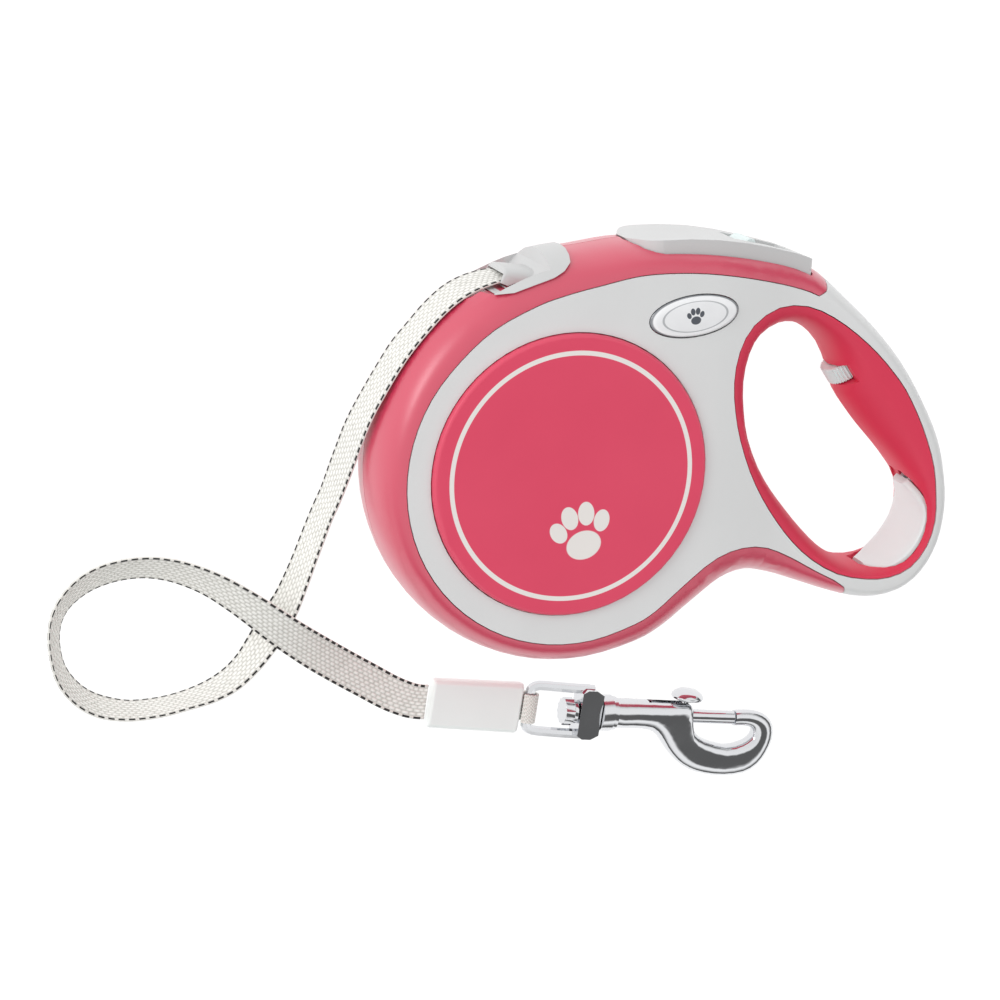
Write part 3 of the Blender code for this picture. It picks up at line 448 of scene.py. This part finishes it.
# Edge widths in millimetres, for the pieces whose edges aren't of the usual width.
BEVELS = {"end_sleeve": 0.5, "brake_button": 0.6, "hand_stop": 0.5, "snap_eye": 0.6, "lock_slider": 0.3,
          "upper_disc": 0.25, "lower_disc": 0.25, "snap_body": 0.25, "adjuster_wheel": 0.2,
          "swivel_pin_head": 0.4, "mouth_guide": 0.3, "upper_frame": 0.3, "lower_frame": 0.3}
USUAL_BEVEL = 0.2
WELD_DISTANCE = 0.000004
SHARP_DEGREES = 38
NORMAL_WEIGHT = 60


def dress(node, material):
    node.data.materials.clear()
    node.data.materials.append(material)
    for face in node.data.polygons:
        face.use_smooth = True
        face.material_index = 0
    weld = node.modifiers.new("weld", "WELD")
    weld.merge_threshold = WELD_DISTANCE
    soften = node.modifiers.new("soft edges", "BEVEL")
    soften.width = BEVELS.get(node.name, USUAL_BEVEL) * MM
    soften.segments = 2
    soften.limit_method = "ANGLE"
    soften.angle_limit = math.radians(SHARP_DEGREES)
    soften.harden_normals = True
    soften.use_clamp_overlap = True
    even = node.modifiers.new("even shading", "WEIGHTED_NORMAL")
    even.keep_sharp = True
    even.weight = NORMAL_WEIGHT


for material, names in FINISHES.items():
    for name in names:
        dress(nodes[name], material)


# ---------------------------------------------------------------- tape
# Centre line of the free tape in millimetres, then its lean in degrees from lying flat.
ROUTE = [
    (-15.4, 61, 22, 88), (-20.4, 62.6, 22.4, 82), (-28.8, 61.3, 24.4, 77), (-36.6, 58.2, 26.2, 74),
    (-43, 53.1, 26.6, 74), (-49, 46.4, 26.6, 75), (-53.9, 40.4, 26.6, 74), (-57.6, 34.4, 26.2, 75),
    (-61, 28.1, 25.6, 75), (-64.2, 20.8, 23.8, 75), (-66.6, 13, 21, 73), (-68.2, 5, 17.6, 72),
    (-69.8, -3.4, 13.9, 72), (-71.5, -11.4, 10.8, 73), (-73.3, -17.6, 8.6, 72),
    (-75.6, -25.2, 7.1, 70), (-78.2, -33, 6.5, 69), (-80.9, -40.4, 6.3, 66),
    (-84, -48.2, 5.9, 60), (-88, -55.7, 5.2, 51), (-92.6, -62.8, 5.6, 57), (-97.3, -68.8, 6.2, 66),
    (-103, -74, 6.4, 70), (-110, -77.6, 6.6, 75), (-118.4, -80, 6.7, 80), (-126.8, -81.6, 6.7, 79),
    (-136.3, -82, 6.6, 76), (-144.8, -80.4, 6.4, 70), (-151, -77.4, 6.3, 68), (-155.9, -72.8, 6.2, 67),
    (-159.2, -67.2, 6.2, 67), (-160.9, -60, 6.2, 66), (-161, -53.2, 6, 62), (-159.5, -47.6, 5.7, 56),
    (-156.4, -43, 5.3, 50), (-151.4, -38.8, 4.9, 44), (-145.4, -36, 4.7, 41),
    (-138.2, -34.4, 4.8, 41), (-130.4, -34, 5.3, 41), (-122.8, -35.1, 6.4, 41),
    (-115.7, -37.3, 8.2, 40), (-109.2, -40.2, 10.4, 38), (-102.6, -44.2, 12.6, 34),
    (-95.8, -49, 14, 28), (-88.4, -54.9, 13.7, 19), (-81, -60.6, 11.8, 11), (-73.2, -66.4, 8.8, 2),
    (-64, -72.8, 5.6, -3), (-55, -78.6, 3.8, -4), (-47, -83.6, 3, -2), (-40.6, -86.6, 3, 0),
    (-36.8, -87.7, 3, 0), (-33.7, -88.1, 3, 0),
]
TAPE_WIDTH = 12.5
# The tape's rolled edge: how far in from the side, and how high above the middle.
ROLLED_EDGE = ((0, 0.0), (0.08, 0.24), (0.3, 0.38), (0.62, 0.4), (0.95, 0.36), (1.15, 0.3))
FLAT_HEIGHT = 0.31
FLAT_PARTS = 8
ROUTE_STEPS = 5


def smooth_route(keys, steps):
    """The route's points with a smooth curve run through the keys, some steps to each."""
    points = []
    for i in range(len(keys) - 1):
        four = [keys[max(i - 1, 0)], keys[i], keys[i + 1], keys[min(i + 2, len(keys) - 1)]]
        for step in range(steps):
            t = step / steps
            point = []
            for a, b, c, d in zip(*four):
                point.append(0.5 * (2 * b + (c - a) * t + (2 * a - 5 * b + 4 * c - d) * t * t
                                    + (3 * b - a - 3 * c + d) * t ** 3))
            points.append(tuple(point))
    points.append(tuple(keys[-1]))
    return points


def tape_section():
    """Across, above; a flat band whose edges swell into a rolled selvedge."""
    half = TAPE_WIDTH / 2
    upper = [(-half + inset, height) for inset, height in ROLLED_EDGE]
    inside = ROLLED_EDGE[-1][0]
    flat = TAPE_WIDTH - 2 * inside
    middle = [(-half + inside + flat * i / FLAT_PARTS, FLAT_HEIGHT) for i in range(1, FLAT_PARTS)]
    side = upper + middle + [(-x, z) for x, z in reversed(upper)]
    return side + [(x, -z) for x, z in reversed(side[1:-1])]


def build_tape():
    """The free tape's mesh, its centre line and that line's length, in metres."""
    route = smooth_route(ROUTE, ROUTE_STEPS)
    section = tape_section()
    build = bmesh.new()
    layer = build.loops.layers.uv.new("weave")
    rows = []
    runs = []
    run = 0.0
    for i, (x, y, z, lean) in enumerate(route):
        here = Vector((x, y, z))
        if i:
            run += (here - Vector(route[i - 1][:3])).length
        before = Vector(route[max(i - 1, 0)][:3])
        after = Vector(route[min(i + 1, len(route) - 1)][:3])
        along = (after - before).normalized()
        level = Vector((0, 0, 1)).cross(along).normalized()
        upright = along.cross(level)
        angle = math.radians(lean)
        side = level * math.cos(angle) + upright * math.sin(angle)
        face = along.cross(side)
        rows.append([build.verts.new((here + side * a + face * b) * MM) for a, b in section])
        runs.append(run * MM)
    count = len(section)
    for i in range(len(rows) - 1):
        for j in range(count):
            k = (j + 1) % count
            quad = build.faces.new((rows[i][j], rows[i][k], rows[i + 1][k], rows[i + 1][j]))
            quad.smooth = True
            spots = ((j, i), (k, i), (k, i + 1), (j, i + 1))
            for loop, (place, row) in zip(quad.loops, spots):
                loop[layer].uv = (section[place][0] * MM, runs[row])
    build.faces.new(rows[0])
    build.faces.new(rows[-1])
    bmesh.ops.recalc_face_normals(build, faces=build.faces[:])
    mesh = bpy.data.meshes.new("free_tape")
    build.to_mesh(mesh)
    build.free()
    made = bpy.data.objects.new("free_tape", mesh)
    bpy.context.scene.collection.objects.link(made)
    made.data.materials.append(woven)
    path = [Vector(p[:3]) * MM for p in route]
    return made, path, run * MM


free_tape, tape_path, tape_length = build_tape()
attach(free_tape, "casing")
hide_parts("tape")
print("tape length", round(tape_length, 4))


# ---------------------------------------------------------------- floor, light
FLOOR_HALF = 3
FLOOR_GAP = 0.0002
PAPER_GLOW = 0.97


def add_floor():
    """A pale sheet that glows almost white, so the object stands on a plain background."""
    build = bmesh.new()
    bmesh.ops.create_grid(build, x_segments=1, y_segments=1, size=FLOOR_HALF)
    mesh = bpy.data.meshes.new("studio floor")
    build.to_mesh(mesh)
    build.free()
    floor = bpy.data.objects.new("studio_floor", mesh)
    floor.location = (0, 0, -FLOOR_GAP)
    paper = new_material("white paper", PAPER, 0.9)
    shader = shader_of(paper)
    shader.inputs["Specular IOR Level"].default_value = 0.1
    shader.inputs["Emission Color"].default_value = (1, 1, 1, 1)
    shader.inputs["Emission Strength"].default_value = PAPER_GLOW
    link(paper, vary(paper, PAPER, 0.02, 8.0), shader.inputs["Base Color"])
    floor.data.materials.append(paper)
    bpy.context.scene.collection.objects.link(floor)


def add_lamp(name, place, target, size, power):
    data = bpy.data.lights.new(name, "AREA")
    data.shape = "RECTANGLE"
    data.size = size[0]
    data.size_y = size[1]
    data.energy = power
    lamp = bpy.data.objects.new(name, data)
    lamp.location = place
    aim = Vector(target) - Vector(place)
    lamp.rotation_euler = aim.to_track_quat("-Z", "Y").to_euler()
    bpy.context.scene.collection.objects.link(lamp)


# The dome's low light: which way x and y count as lit, where it fades, and its two strengths.
LIT_SIDE = (-0.75, 0.65)
LOW_FADE = (-0.35, 0.75)
LOW_LIGHT = (0.12, 1.08)
# Where the low light gives way to the high one, as a height on the dome.
HIGH_FADE = (0.22, 0.62)
# The high light's strength, and how much of it the lit side takes off.
HIGH_LIGHT = 1.02
HIGH_LEAN = -0.12
# The dark panel: which way it lies, how near a direction has to be to it, and what light it leaves.
PANEL_WAY = (0.32, -0.26, 0.91)
PANEL_FADE = (0.90, 0.965)
PANEL_LIGHT = 0.12


def add_world():
    """A soft dome: nearly even overhead, and low down bright on one side and dark on the other."""
    world = bpy.data.worlds.new("studio")
    bpy.context.scene.world = world
    world.use_nodes = True
    tree = world.node_tree

    def step(kind, first, second=None, third=None):
        node = tree.nodes.new("ShaderNodeMath")
        node.operation = kind
        for socket, value in zip(node.inputs, (first, second, third)):
            if isinstance(value, (int, float)):
                socket.default_value = value
            elif value is not None:
                tree.links.new(value, socket)
        return node.outputs[0]

    def smooth(value, low, high, start, end):
        node = tree.nodes.new("ShaderNodeMapRange")
        node.interpolation_type = "SMOOTHSTEP"
        tree.links.new(value, node.inputs["Value"])
        for name, number in zip(RANGE_SOCKETS, (low, high, start, end)):
            node.inputs[name].default_value = number
        return node.outputs["Result"]

    coords = tree.nodes.new("ShaderNodeTexCoord")
    split = tree.nodes.new("ShaderNodeSeparateXYZ")
    tree.links.new(coords.outputs["Generated"], split.inputs[0])
    x, y, z = split.outputs
    # Low down, the light comes from the -X and +Y sides.
    lit_side = step("ADD", step("MULTIPLY", x, LIT_SIDE[0]), step("MULTIPLY", y, LIT_SIDE[1]))
    low = smooth(lit_side, *LOW_FADE, *LOW_LIGHT)
    # Overhead, one dark panel for the chrome to mirror.
    toward = step("ADD", step("MULTIPLY", x, PANEL_WAY[0]), step("MULTIPLY", y, PANEL_WAY[1]))
    toward = step("MULTIPLY_ADD", z, PANEL_WAY[2], toward)
    panel = smooth(toward, *PANEL_FADE, 1.0, PANEL_LIGHT)
    high = step("MULTIPLY", step("MULTIPLY_ADD", lit_side, HIGH_LEAN, HIGH_LIGHT), panel)
    share = smooth(z, *HIGH_FADE, 0, 1)
    low_part = step("MULTIPLY", low, step("SUBTRACT", 1, share))
    light = step("ADD", low_part, step("MULTIPLY", high, share))
    tree.links.new(light, tree.nodes["Background"].inputs["Strength"])
    tree.nodes["Background"].inputs["Color"].default_value = (1, 1, 1, 1)


add_floor()
add_world()
add_lamp("key softbox", place=(-0.9, 0.5, 0.5), target=(0, 0, 0.02), size=(0.5, 0.35), power=2.2)

bpy.context.scene.view_settings.view_transform = "Standard"
